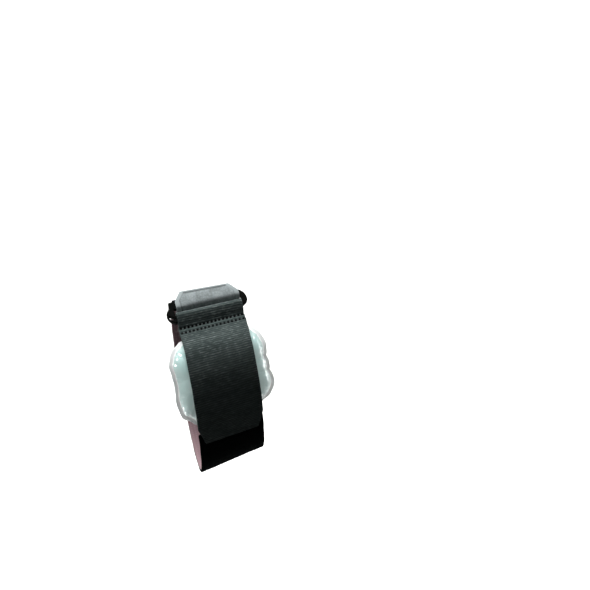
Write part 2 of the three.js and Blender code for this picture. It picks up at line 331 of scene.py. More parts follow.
def tab_path(x):
    side = RING_THICK / 2 + FOLD_EASE + TAB_THICK / 2
    share = x / (STRAP_WIDTH / 2)
    return [
        *(on_hollow(x, angle, height + lift * share) for angle, height, lift in TAB_RUN),
        on_ring(x, RING_TOP + 0.8, -side),
        *fold_round(x, SLOT_TOP, -1, TAB_THICK, -1),
        on_ring(x, RING_TOP, side),
        on_ring(x, TAB_TIP_UP + TAB_TIP_SKEW * x, TAB_TIP_OUT),
    ]


def band_path(x):
    return [on_hollow(x, angle, BAND_MIDDLE) for angle in np.linspace(BAND_START, BAND_END, 31)]


def lining_path(x):
    return [on_hollow(x, angle, LINING_MIDDLE) for angle in np.linspace(BAND_START, BAND_END, 31)]


def smooth_line(points):
    """Evenly spaced points on a smooth curve through the given ones, and its length."""
    stops = np.array(points)
    stops = np.vstack((2 * stops[0] - stops[1], stops, 2 * stops[-1] - stops[-2]))
    share = np.linspace(0, 1, 60, endpoint=False)[:, None]
    fine = []
    for a, b, c, d in zip(stops, stops[1:], stops[2:], stops[3:]):
        k0, k1, k2 = (math.sqrt(np.linalg.norm(n - m)) for m, n in ((a, b), (b, c), (c, d)))
        leave = k1 * ((b - a) / k0 - (c - a) / (k0 + k1) + (c - b) / k1)
        arrive = k1 * ((c - b) / k1 - (d - b) / (k1 + k2) + (d - c) / k2)
        bend = 3 * (c - b) - 2 * leave - arrive
        twist = 2 * (b - c) + leave + arrive
        fine.append(b + leave * share + bend * share**2 + twist * share**3)
    fine = np.vstack((*fine, stops[-2:-1]))
    run = np.append(0, np.cumsum(np.linalg.norm(np.diff(fine, axis=0), axis=1)))
    even = np.linspace(0, run[-1], LINE_STEPS + 1)
    return np.column_stack([np.interp(even, run, fine[:, k]) for k in range(3)]), run[-1]


class StrapLine:
    """Where a strap's two edges run, with places on it by distance across and along."""

    def __init__(self, path, shift=0):
        half = STRAP_WIDTH / 2
        self.near, self.length = smooth_line(path(shift - half))
        self.far, _ = smooth_line(path(shift + half))
        self.near_way = np.gradient(self.near, axis=0)
        self.far_way = np.gradient(self.far, axis=0)

    def places(self, across, along):
        """Points, and the directions straight out of the strap there."""
        row = np.clip(np.rint(along / self.length * LINE_STEPS), 0, LINE_STEPS).astype(int)
        share = (0.5 + across / STRAP_WIDTH)[:, None]
        here = self.near[row] * (1 - share) + self.far[row] * share
        way = self.near_way[row] * (1 - share) + self.far_way[row] * share
        return here, unit(np.cross(self.far[row] - self.near[row], way))

    def along_of(self, angle, height):
        """Distance along the strap's middle to the place nearest this one."""
        middle = (self.near + self.far) / 2
        reach = np.linalg.norm(middle - on_hollow(0, angle, height), axis=1)
        return self.length * int(np.argmin(reach)) / LINE_STEPS


def fractal(across, along, size_across, size_along, seed):
    """Smooth noise from -1 to 1 with lumps of these sizes."""
    points = zip(across / size_across, along / size_along)
    return np.array([noise.noise(Vector((a, b, seed))) for a, b in points])


# Making pieces


def deselect():
    if bpy.context.object and bpy.context.object.mode != "OBJECT":
        bpy.ops.object.mode_set(mode="OBJECT")
    bpy.ops.object.select_all(action="DESELECT")


def choose(piece):
    deselect()
    piece.select_set(True)
    bpy.context.view_layer.objects.active = piece


def apply_modifiers(piece):
    choose(piece)
    for modifier in list(piece.modifiers):
        bpy.ops.object.modifier_apply(modifier=modifier.name)


def face_outwards(piece):
    choose(piece)
    bpy.ops.object.mode_set(mode="EDIT")
    bpy.ops.mesh.select_all(action="SELECT")
    bpy.ops.mesh.normals_make_consistent(inside=False)
    bpy.ops.object.mode_set(mode="OBJECT")


def fit_out(piece, material, slot, *nodes):
    """Gives a finished piece its material and body, and hides the solids that it stands for; slot is not
    used.
    """
    piece.data.materials.clear()
    piece.data.materials.append(material)
    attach(piece, "root")
    if nodes:
        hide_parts(*nodes)


def lay_strap(name, line, thick, rows, columns, width_at, relief, face=1, edge=0.4):
    """A flat cut of cloth laid along a strap's line, with its relief, thickness and soft edges.

    relief gives the height of the surface, and a dictionary of what else varies over it.
    """
    deselect()
    bpy.ops.mesh.primitive_grid_add(x_subdivisions=columns, y_subdivisions=rows, size=2)
    strap = bpy.context.object
    strap.name = name
    mesh = strap.data
    mesh.name = name
    cut = np.empty(3 * len(mesh.vertices))
    mesh.vertices.foreach_get("co", cut)
    side, share = cut[0::3], (cut[1::3] + 1) / 2
    along = share * line.length
    across = side * width_at(along, line.length - along) / 2
    wander = EDGE_WANDER * fractal(side * 3, along, 1, 14, 5.0) * np.abs(side) ** 3
    here, out = line.places(across + wander, along)
    rise, marks = relief(across, along)
    here = (here + out * (face * rise)[:, None]) * MM
    mesh.vertices.foreach_set("co", here.ravel())
    for mark, values in marks.items():
        mesh.attributes.new(mark, "FLOAT", "POINT").data.foreach_set("value", values)
    corners = np.empty(len(mesh.loops), int)
    mesh.loops.foreach_get("vertex_index", corners)
    flat = np.column_stack((across[corners], along[corners])) * MM
    mesh.uv_layers.active.data.foreach_set("uv", flat.ravel())
    mesh.update()
    body = strap.modifiers.new("Thickness", "SOLIDIFY")
    body.thickness = thick * MM
    body.offset = 0
    body.use_even_offset = True
    soft = strap.modifiers.new("Soft edge", "BEVEL")
    soft.width = edge * MM
    soft.segments = 2
    soft.limit_method = "ANGLE"
    soft.angle_limit = math.radians(74)
    apply_modifiers(strap)
    face_outwards(strap)
    bpy.ops.object.shade_smooth_by_angle(angle=math.radians(55))
    return strap


# Materials


def add_node(material, kind, inputs=None, **settings):
    """Adds a node with its settings, and sets or links its inputs."""
    node = material.node_tree.nodes.new(kind)
    for key, value in settings.items():
        setattr(node, key, value)
    for key, value in (inputs or {}).items():
        if isinstance(value, bpy.types.NodeSocket):
            material.node_tree.links.new(value, node.inputs[key])
        else:
            node.inputs[key].default_value = value
    return node


def new_material(name, inputs):
    """A material with one shader, whose even values are set on its own sockets."""
    material = bpy.data.materials.new(name)
    material.use_nodes = True
    shader = material.node_tree.nodes["Principled BSDF"]
    for key, value in inputs.items():
        shader.inputs[key].default_value = value
    return material, shader


def feed(material, shader, key, socket):
    material.node_tree.links.new(socket, shader.inputs[key])


def ribbed_webbing(settings):
    """Ribbed polyester webbing, woven from dull spun yarn.

    The crests are paler, with pale fibres and painted glints in broken dashes, and the grooves and needle
    holes are painted dark as shade.
    """
    material, shader = new_material("ribbed polyester webbing", {
        "Roughness": 0.9, "IOR": 1.5, "Specular IOR Level": 0.03,
    })
    crest = add_node(material, "ShaderNodeAttribute", attribute_name="crest")
    lit_fleck_share = add_node(material, "ShaderNodeAttribute", attribute_name="lit_fleck_share")
    hole = add_node(material, "ShaderNodeAttribute", attribute_name="needle_hole")
    uv = add_node(material, "ShaderNodeUVMap")
    # Pale dashes lie along the crests, about 4 mm long: pale fibres with painted glints, several fibres
    # together, so that they show.
    stretched = add_node(material, "ShaderNodeMapping", {
        "Vector": uv.outputs[0], "Scale": (0.28, 1, 1)})
    dashes = add_node(material, "ShaderNodeTexNoise", {
        "Vector": stretched.outputs[0], "Scale": 1 / 0.0011, "Detail": 2, "Roughness": 0.6})
    few = add_node(material, "ShaderNodeMapRange", {
        "Value": dashes.outputs["Fac"], "From Min": 0.45, "From Max": 0.75, "To Max": 0.65},
        interpolation_type="SMOOTHSTEP")
    # The flecks fade towards the strap's lower end: painted shade.
    fleck_glints = add_node(material, "ShaderNodeMath", {0: few.outputs[0], 1: lit_fleck_share.outputs["Fac"]},
                      operation="MULTIPLY")
    # Patches 9 mm wide where the yarn is more or less rubbed.
    patches = add_node(material, "ShaderNodeTexNoise", {
        "Vector": stretched.outputs[0], "Scale": 1 / 0.009, "Detail": 3})
    worn = add_node(material, "ShaderNodeMapRange", {
        "Value": patches.outputs["Fac"], "From Min": 0.35, "From Max": 0.65, "To Min": 0.4})
    rub_and_groove_shade = add_node(material, "ShaderNodeMath", {0: crest.outputs["Fac"], 1: worn.outputs[0]},
                   operation="MULTIPLY")
    # Painted shade: the colour runs from the dark groove colour up to the yarn colour on the crests, and
    # the patches make the rubbing uneven.
    yarn = add_node(material, "ShaderNodeMix", {
        0: rub_and_groove_shade.outputs[0], 6: tint(settings.groove_shade_colour), 7: tint(settings.colour)}, data_type="RGBA")
    specked = add_node(material, "ShaderNodeMix", {
        0: fleck_glints.outputs[0], 6: yarn.outputs[2], 7: tint(settings.fleck_glint_colour)}, data_type="RGBA")
    # Painted shade: the needle holes are painted black.
    sunk = add_node(material, "ShaderNodeMix", {
        0: hole.outputs["Fac"], 6: specked.outputs[2], 7: (0.001, 0.001, 0.001, 1)}, data_type="RGBA")
    feed(material, shader, "Base Color", sunk.outputs[2])
    # Warp threads 0.5 mm apart break the ribs into single stitches of yarn.
    threads = add_node(material, "ShaderNodeTexWave", {
        "Vector": uv.outputs[0], "Scale": 1 / 0.0005 / 20 * math.pi, "Distortion": 1.5, "Detail": 1},
        bands_direction="X")
    bump = add_node(material, "ShaderNodeBump", {
        "Height": threads.outputs["Fac"], "Strength": 0.35, "Distance": 0.0001})
    fuzz = add_node(material, "ShaderNodeBump", {
        "Height": dashes.outputs["Fac"], "Strength": 0.4, "Distance": 0.0002,
        "Normal": bump.outputs[0]})
    feed(material, shader, "Normal", fuzz.outputs[0])
    return material


def loop_pile(settings):
    """Brushed nylon loop pile: a dull, light-swallowing surface of tangled loops."""
    material, shader = new_material("brushed loop pile", {
        "Roughness": 0.95, "IOR": 1.5, "Specular IOR Level": 0.003,
    })
    uv = add_node(material, "ShaderNodeUVMap")
    # Loops about 0.8 mm across, in tufts of about 5 mm.
    loops = add_node(material, "ShaderNodeTexNoise", {
        "Vector": uv.outputs[0], "Scale": 1 / 0.0008, "Detail": 3, "Roughness": 0.65})
    tufts = add_node(material, "ShaderNodeTexNoise", {
        "Vector": uv.outputs[0], "Scale": 1 / 0.005, "Detail": 3})
    pale = add_node(material, "ShaderNodeMath", {0: loops.outputs["Fac"], 1: tufts.outputs["Fac"]},
                    operation="MULTIPLY")
    lit = add_node(material, "ShaderNodeMapRange", {
        "Value": pale.outputs[0], "From Min": 0.15, "From Max": 0.4})
    shade = add_node(material, "ShaderNodeMix", {
        0: lit.outputs[0], 6: tint(settings.pile_and_shade_colour, 0.25),
        7: tint(settings.pile_and_shade_colour)}, data_type="RGBA")
    feed(material, shader, "Base Color", shade.outputs[2])
    bump = add_node(material, "ShaderNodeBump", {
        "Height": loops.outputs["Fac"], "Strength": 0.7, "Distance": 0.0004})
    feed(material, shader, "Normal", bump.outputs[0])
    return material


def knitted_lining(settings):
    """Warp-knitted polyester lining: soft, dull, with fine columns of stitches."""
    material, shader = new_material("knitted lining", {
        "Roughness": 0.9, "IOR": 1.5, "Specular IOR Level": 0.12,
        "Sheen Weight": 0.15, "Sheen Roughness": 0.5,
    })
    uv = add_node(material, "ShaderNodeUVMap")
    # Stitch columns 1.2 mm apart, coarser than the real 0.8 mm so that they show.
    columns = add_node(material, "ShaderNodeTexWave", {
        "Vector": uv.outputs[0], "Scale": 1 / 0.0012 / 20 * math.pi, "Distortion": 0.8,
        "Detail Scale": 3}, bands_direction="X")
    courses = add_node(material, "ShaderNodeTexWave", {
        "Vector": uv.outputs[0], "Scale": 1 / 0.0010 / 20 * math.pi, "Distortion": 0.8,
        "Detail Scale": 3}, bands_direction="Y")
    knit = add_node(material, "ShaderNodeMath", {0: columns.outputs["Fac"], 1: courses.outputs["Fac"]},
                    operation="MULTIPLY")
    shade = add_node(material, "ShaderNodeMix", {
        0: knit.outputs[0], 6: tint(settings.lining_colour, 0.84),
        7: tint(settings.lining_colour)}, data_type="RGBA")
    feed(material, shader, "Base Color", shade.outputs[2])
    bump = add_node(material, "ShaderNodeBump", {
        "Height": knit.outputs[0], "Strength": 0.5, "Distance": 0.0002})
    feed(material, shader, "Normal", bump.outputs[0])
    return material


def brushed_cloth(settings):
    """Brushed nylon tab cloth: felted fibres, pale on the tab's face and black on its strap."""
    material, shader = new_material("brushed tab cloth", {
        "Roughness": 0.9, "IOR": 1.5, "Specular IOR Level": 0.05,
    })
    pressed = add_node(material, "ShaderNodeAttribute", attribute_name="pressed")
    panel = add_node(material, "ShaderNodeAttribute", attribute_name="panel")
    face = add_node(material, "ShaderNodeAttribute", attribute_name="face")
    uv = add_node(material, "ShaderNodeUVMap")
    # Felted clumps about 1.5 mm wide over clouds of 8 mm.
    clumps = add_node(material, "ShaderNodeTexNoise", {
        "Vector": uv.outputs[0], "Scale": 1 / 0.0015, "Detail": 4, "Roughness": 0.65})
    clouds = add_node(material, "ShaderNodeTexNoise", {
        "Vector": uv.outputs[0], "Scale": 1 / 0.008, "Detail": 2})
    mottle = add_node(material, "ShaderNodeMath", {0: clumps.outputs["Fac"], 1: clouds.outputs["Fac"]},
                      operation="ADD")
    even = add_node(material, "ShaderNodeMapRange", {
        "Value": mottle.outputs[0], "From Min": 0.8, "From Max": 1.2})
    felt = add_node(material, "ShaderNodeMix", {
        0: even.outputs[0], 6: tint(settings.tab_colour, 0.6),
        7: tint(settings.tab_colour)}, data_type="RGBA")
    # Painted light: the border round the panel is painted lighter than the panel.
    bordered = add_node(material, "ShaderNodeMix", {
        0: panel.outputs["Fac"], 6: tint(settings.tab_colour, 1.1), 7: felt.outputs[2]}, data_type="RGBA")
    # Painted shade: the pressed groove round the panel is painted nearly black.
    grooved = add_node(material, "ShaderNodeMix", {
        0: pressed.outputs["Fac"], 6: bordered.outputs[2],
        7: tint(settings.tab_colour, 0.08)}, data_type="RGBA")
    strap = add_node(material, "ShaderNodeMix", {
        0: even.outputs[0], 6: tint(settings.strap_colour, 0.5),
        7: tint(settings.strap_colour)}, data_type="RGBA")
    shade = add_node(material, "ShaderNodeMix", {
        0: face.outputs["Fac"], 6: strap.outputs[2], 7: grooved.outputs[2]}, data_type="RGBA")
    feed(material, shader, "Base Color", shade.outputs[2])
    bump = add_node(material, "ShaderNodeBump", {
        "Height": clumps.outputs["Fac"], "Strength": 0.45, "Distance": 0.0003})
    feed(material, shader, "Normal", bump.outputs[0])
    return material


def sewing_thread(settings):
    """Twisted polyester thread: a soft shine broken by its plies."""
    material, shader = new_material("polyester sewing thread", {
        "Roughness": 0.55, "IOR": 1.5, "Specular IOR Level": 0.3,
    })
    place = add_node(material, "ShaderNodeTexCoord")
    # Plies 0.35 mm apart along the thread.
    plies = add_node(material, "ShaderNodeTexNoise", {
        "Vector": place.outputs["Object"], "Scale": 1 / 0.00035, "Detail": 1})
    shade = add_node(material, "ShaderNodeMix", {
        0: plies.outputs["Fac"], 6: tint(settings.thread_colour, 0.5),
        7: tint(settings.thread_colour)}, data_type="RGBA")
    feed(material, shader, "Base Color", shade.outputs[2])
    return material


def moulded_nylon(settings):
    """Black nylon from a spark-eroded mould: even and dull, with a fine grain that breaks the shine."""
    material, shader = new_material("moulded nylon", {
        "IOR": 1.53, "Specular IOR Level": 0.02,
    })
    place = add_node(material, "ShaderNodeTexCoord")
    # Mould grain of 0.4 mm, and handling marks of 6 mm.
    grain = add_node(material, "ShaderNodeTexNoise", {
        "Vector": place.outputs["Object"], "Scale": 1 / 0.0004, "Detail": 2})
    marks = add_node(material, "ShaderNodeTexNoise", {
        "Vector": place.outputs["Object"], "Scale": 1 / 0.006, "Detail": 3})
    dull = add_node(material, "ShaderNodeMapRange", {
        "Value": marks.outputs["Fac"], "From Min": 0.3, "From Max": 0.7, "To Min": 0.6, "To Max": 0.75})
    feed(material, shader, "Roughness", dull.outputs[0])
    shade = add_node(material, "ShaderNodeMix", {
        0: marks.outputs["Fac"], 6: tint(settings.colour, 0.6),
        7: tint(settings.colour)}, data_type="RGBA")
    feed(material, shader, "Base Color", shade.outputs[2])
    bump = add_node(material, "ShaderNodeBump", {
        "Height": grain.outputs["Fac"], "Strength": 0.2, "Distance": 0.0001})
    feed(material, shader, "Normal", bump.outputs[0])
    return material


def vinyl_film(settings):
    """Blown vinyl film, calendered glossy: milky and pale, clearer where the weld pressed it."""
    material, shader = new_material("welded vinyl film", {
        "IOR": 1.53, "Subsurface Radius": (0.9, 1.0, 1.0), "Subsurface Scale": 0.012,
        "Coat Weight": 0.35, "Coat Roughness": 0.06,
    })
    weld = add_node(material, "ShaderNodeAttribute", attribute_name="weld")
    place = add_node(material, "ShaderNodeTexCoord")
    # Haze in clouds of 12 mm.
    haze = add_node(material, "ShaderNodeTexNoise", {
        "Vector": place.outputs["Object"], "Scale": 1 / 0.012, "Detail": 2})
    milky = add_node(material, "ShaderNodeMix", {
        0: haze.outputs["Fac"], 6: tint(settings.colour, 0.86),
        7: tint(settings.colour)}, data_type="RGBA")
    shade = add_node(material, "ShaderNodeMix", {
        0: weld.outputs["Fac"], 6: milky.outputs[2], 7: tint(settings.weld_colour)}, data_type="RGBA")
    feed(material, shader, "Base Color", shade.outputs[2])
    dull = add_node(material, "ShaderNodeMapRange", {
        "Value": weld.outputs["Fac"], "To Min": 0.14, "To Max": 0.4})
    feed(material, shader, "Roughness", dull.outputs[0])
    clear = add_node(material, "ShaderNodeMapRange", {
        "Value": weld.outputs["Fac"], "To Min": 0, "To Max": 0.2})
    feed(material, shader, "Transmission Weight", clear.outputs[0])
    # The thin weld scatters light at its surface, and the air-filled part deep below it.
    deep = add_node(material, "ShaderNodeMapRange", {
        "Value": weld.outputs["Fac"], "To Min": 0.9, "To Max": 0.1})
    feed(material, shader, "Subsurface Weight", deep.outputs[0])
    # The film's own ripple, 3 mm long and very shallow.
    ripple = add_node(material, "ShaderNodeTexNoise", {
        "Vector": place.outputs["Object"], "Scale": 1 / 0.003, "Detail": 1})
    bump = add_node(material, "ShaderNodeBump", {
        "Height": ripple.outputs["Fac"], "Strength": 0.06, "Distance": 0.0003})
    feed(material, shader, "Normal", bump.outputs[0])
    return material


def painted_floor(settings):
    """Matt white studio paint with a barely uneven roller finish."""
    material, shader = new_material("matt studio paint", {"Roughness": 0.9, "Specular IOR Level": 0.1})
    place = add_node(material, "ShaderNodeTexCoord")
    # Roller clouds of about 80 mm.
    clouds = add_node(material, "ShaderNodeTexNoise", {
        "Vector": place.outputs["Object"], "Scale": 1 / 0.08, "Detail": 2})
    shade = add_node(material, "ShaderNodeMix", {
        0: clouds.outputs["Fac"], 6: tint(settings.floor_colour, 0.97),
        7: tint(settings.floor_colour)}, data_type="RGBA")
    feed(material, shader, "Base Color", shade.outputs[2])
    return material


# Operators


def needle_holes(settings, line):
    """Places of the needle holes across and along the strap, one list for each sewn row."""
    half = settings.sewn_width / MM / 2
    across = np.linspace(-half, half, settings.stitches)
    crease = line.along_of(*WOVEN_RUN[-1][:2])
    return [(across, crease - below) for below in SEWN_ROWS]


class ELBOW_OT_woven_strap(bpy.types.Operator):
    """Lays the ribbed strap over the cell and folds it round the loop's lower bar"""

    bl_idname = "elbow.woven_strap"
    bl_label = "Woven strap"

    def execute(self, context):
        settings = context.scene.elbow_webbing
        line = StrapLine(woven_path)
        pitch = settings.rib_pitch / MM
        depth = settings.rib_depth / MM
        size = settings.hole_size / MM / 2
        rows = needle_holes(settings, line)

        def width(from_tip, _):
            return STRAP_WIDTH - 2 * TONGUE_CUT * np.maximum(0, 1 - from_tip / TONGUE_TAPER)

        def relief(across, along):
            drift = 0.3 * fractal(across, along, 11, 6, 1.0)
            crest = 0.5 + 0.5 * np.cos(2 * np.pi * (along + drift) / pitch)
            uneven = 1 + 0.8 * fractal(across, along, 4.5, 1.2, 2.0)
            rise = depth * uneven * (crest - 0.5)
            hole = np.zeros_like(across)
            for places, row in rows:
                rise -= ROW_SINK * np.exp(-(((along - row) / 1.1) ** 2))
                for place in places:
                    far = ((across - place) ** 2 + ((along - row) / 1.25) ** 2) / size**2
                    hole = np.maximum(hole, np.exp(-0.6 * far**3))
                # Painted shade: the crests are darkened along each sunk row.
                crest *= 1 - 0.45 * np.exp(-(((along - row) / 5) ** 2))
            rise -= HOLE_DEPTH * hole
            crest = np.clip(crest * (0.7 + 0.3 * uneven), 0, 1)
            # Painted shade: the pale flecks and their painted glints fade to a third towards the strap's
            # lower end.
            lit_fleck_share = crest * np.clip(along / rows[-1][1], 0.35, 1)
            return rise, {"crest": crest, "lit_fleck_share": lit_fleck_share, "needle_hole": hole}

        strap = lay_strap("ribbed_strap", line, WOVEN_THICK, 400, 100, width, relief)
        fit_out(strap, ribbed_webbing(settings), "webbing", "woven_strap")
        return {"FINISHED"}


class ELBOW_OT_sewn_rows(bpy.types.Operator):
    """Sews the strap's folded end down with two rows of stitches"""

    bl_idname = "elbow.sewn_rows"
    bl_label = "Sewn rows"

    def execute(self, context):
        settings = context.scene.elbow_webbing
        line = StrapLine(woven_path)
        deselect()
        bpy.ops.mesh.primitive_cylinder_add(
            vertices=8, radius=THREAD_RADIUS, depth=1, end_fill_type="TRIFAN")
        stitch = bpy.context.object
        bpy.ops.object.mode_set(mode="EDIT")
        for cut in (-0.36, -0.2, 0, 0.2, 0.36):
            bpy.ops.mesh.select_all(action="SELECT")
            bpy.ops.mesh.bisect(plane_co=(0, 0, cut), plane_no=(0, 0, 1))
        bpy.ops.object.mode_set(mode="OBJECT")
        for point in stitch.data.vertices:
            end = abs(2 * point.co.z)
            point.co.x *= 1 - 0.5 * end**4
            point.co.y *= 1 - 0.5 * end**4
            point.co.y -= STITCH_DIP * end**3
        deselect()
        for places, row in needle_holes(settings, line):
            for first, last in zip(places, places[1:]):
                ends = np.array((first, last)) + np.array((1, -1)) * settings.hole_size / MM * 0.32
                points, outs = line.places(ends, np.array((row, row)))
                points = (points + outs * (WOVEN_THICK / 2 - ROW_SINK)) * MM
                way = Vector(points[1] - points[0])
                side = Vector(outs[0]).cross(way).normalized()
                place = Matrix((side, way.cross(side).normalized(), way)).transposed().to_4x4()
                place.translation = Vector(points.mean(axis=0))
                copy = stitch.copy()
                copy.data = stitch.data.copy()
                copy.data.transform(place)
                context.collection.objects.link(copy)
                copy.select_set(True)
                context.view_layer.objects.active = copy
        bpy.ops.object.join()
        sewn = context.object
        sewn.name = "sewn_rows"
        sewn.data.name = "sewn_rows"
        bpy.data.objects.remove(stitch)
        face_outwards(sewn)
        bpy.ops.object.shade_smooth_by_angle(angle=math.radians(60))
        fit_out(sewn, sewing_thread(settings), "webbing")
        return {"FINISHED"}


class ELBOW_OT_arm_band(bpy.types.Operator):
    """Wraps the pile band round the underside and the back"""

    bl_idname = "elbow.arm_band"
    bl_label = "Arm band"

    def execute(self, context):
        settings = context.scene.elbow_band
        depth = settings.pile_depth / MM
        line = StrapLine(band_path)

        def width(from_start, _):
            return np.full_like(from_start, STRAP_WIDTH)

        def relief(across, along):
            loops = fractal(across, along, 1.5, 1.5, 1.0)
            tufts = fractal(across, along, 9, 9, 2.0)
            return depth * (0.7 * loops + 0.5 * tufts), {}

        band = lay_strap("pile_band", line, BAND_THICK - 0.2, 300, 64, width, relief, face=-1, edge=0.5)
        fit_out(band, loop_pile(settings), "pile", "arm_band")
        return {"FINISHED"}


class ELBOW_OT_band_lining(bpy.types.Operator):
    """Lines the band with knitted cloth"""

    bl_idname = "elbow.band_lining"
    bl_label = "Band lining"

    def execute(self, context):
        settings = context.scene.elbow_band
        line = StrapLine(lining_path)

        def width(from_start, _):
            return np.full_like(from_start, STRAP_WIDTH - 0.4)

        def relief(across, along):
            knit = np.cos(2 * np.pi * across / 2.2) * np.cos(2 * np.pi * along / 2.2)
            return 0.05 * knit + 0.1 * fractal(across, along, 8, 8, 4.0), {}

        lining = lay_strap("knitted_lining", line, LINING_THICK - 0.1, 240, 56, width, relief, face=-1)
        fit_out(lining, knitted_lining(settings), "lining", "band_lining")
        return {"FINISHED"}


class ELBOW_OT_closure_tab(bpy.types.Operator):
    """Brings the tab's strap over the top and folds the tab up in front of the loop"""

    bl_idname = "elbow.closure_tab"
    bl_label = "Closure tab"

    def execute(self, context):
        settings = context.scene.elbow_band
        line = StrapLine(tab_path, TAB_SHIFT)

        def width(_, from_tip):
            return TAB_WIDTH - 2 * TAB_CUT * np.maximum(0, 1 - from_tip / TAB_CHAMFER)

        def relief(across, along):
            from_tip = line.length - along
            from_side = width(along, from_tip) / 2 - np.abs(across)
            from_top, from_edge = from_tip - PANEL_FROM_TIP, from_side - PANEL_FROM_SIDE
            at_top = from_top < from_edge
            inside = np.where(from_tip < TAB_FACE, np.minimum(from_top, from_edge), -3)
            panel = np.clip(inside / 0.5, 0, 1)
            pressed = np.exp(-((inside / np.where(at_top, 1, 0.5)) ** 2))
            # The groove and its painted shade are fainter at the sides, most on the +X side.
            pressed *= np.where(at_top, 1, np.where(across < 0, 0.9, 0.5))
            felt = fractal(across, along, 1.6, 1.6, 1.0) + fractal(across, along, 6, 6, 2.0)
            face = np.clip(TAB_FACE - from_tip, 0, 1)
            marks = {"pressed": pressed, "panel": panel, "face": face}
            return 0.06 * felt + 0.3 * panel - 0.3 * pressed, marks

        tab = lay_strap("brushed_tab", line, TAB_THICK, 210, 110, width, relief, edge=0.5)
        fit_out(tab, brushed_cloth(settings), "tab_cloth", "closure_tab")
        return {"FINISHED"}


class ELBOW_OT_loop(bpy.types.Operator):
    """Rounds the moulded loop's edges"""

    bl_idname = "elbow.loop"
    bl_label = "Moulded loop"

    def execute(self, context):
        settings = context.scene.elbow_loop
        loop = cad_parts["ring"].copy()
        loop.data = loop.data.copy()
        for key in list(loop.keys()):
            del loop[key]
        loop.parent = None
        loop.name = "moulded_loop"
        loop.data.name = "moulded_loop"
        context.collection.objects.link(loop)
        choose(loop)
        bpy.ops.object.mode_set(mode="EDIT")
        bpy.ops.mesh.select_all(action="SELECT")
        bpy.ops.mesh.remove_doubles(threshold=0.00001)
        bpy.ops.object.mode_set(mode="OBJECT")
        loop.data.remesh_voxel_size = LOOP_VOXEL
        bpy.ops.object.voxel_remesh()
        rounding = loop.modifiers.new("Rounding", "SMOOTH")
        rounding.factor = 0.5
        rounding.iterations = 7
        apply_modifiers(loop)
        bpy.ops.object.shade_smooth()
        fit_out(loop, moulded_nylon(settings), "moulding", "ring")
        return {"FINISHED"}


def cell_edge(turns, waves):
    """The cell's outline in shares of its half width and half length."""
    ways = np.column_stack((np.cos(turns), np.sin(turns)))
    swell = np.ones(len(turns))
    for place, spread, share in waves:
        gap = (np.degrees(turns) - place + 180) % 360 - 180
        swell += share * np.exp(-((gap / spread) ** 2))
    return np.sign(ways) * np.abs(ways) ** (2 / CELL_SQUARENESS) * swell[:, None]


def even_turns(count):
    """Directions that put points at even distances round the cell's outline."""
    fine = np.linspace(0, 2 * np.pi, 7201)
    edge = cell_edge(fine, CELL_WAVES) * (CELL_ACROSS, CELL_ALONG)
    run = np.append(0, np.cumsum(np.linalg.norm(np.diff(edge, axis=0), axis=1)))
    return np.interp(np.arange(count) / count * run[-1], run, fine)


def blow_up(cell, held, settings):
    """Lets air pressure lift the film off its held points, each point no farther than its reach."""
    scene = bpy.context.scene
    start = np.empty(3 * len(cell.data.vertices))
    cell.data.vertices.foreach_get("co", start)
    welded = cell.vertex_groups.new(name="welded")
    welded.add(held, 1, "REPLACE")
    air = cell.modifiers.new("Air", "CLOTH")
    air.settings.quality = 6
    air.settings.mass = 0.02
    air.settings.bending_stiffness = 0.02
    air.settings.use_pressure = True
    air.settings.uniform_pressure_force = settings.pressure
    air.settings.shrink_min = -settings.slack
    air.settings.effector_weights.gravity = 0
    air.settings.vertex_group_mass = welded.name
    air.collision_settings.use_collision = False
    air.point_cache.frame_end = AIR_FRAMES
    for step in range(1, AIR_FRAMES + 1):
        scene.frame_set(step)
    blown = cell.evaluated_get(bpy.context.evaluated_depsgraph_get()).to_mesh()
    ends = np.empty(len(start))
    blown.vertices.foreach_get("co", ends)
    move = (ends - start).reshape(-1, 3)
    far = np.linalg.norm(move, axis=1, keepdims=True)
    move *= np.minimum(1, FILM_REACH * MM / np.maximum(far, 1e-9))
    cell.modifiers.remove(air)
    cell.vertex_groups.remove(welded)
    scene.frame_set(1)
    cell.data.vertices.foreach_set("co", start + move.ravel())
    cell.data.update()


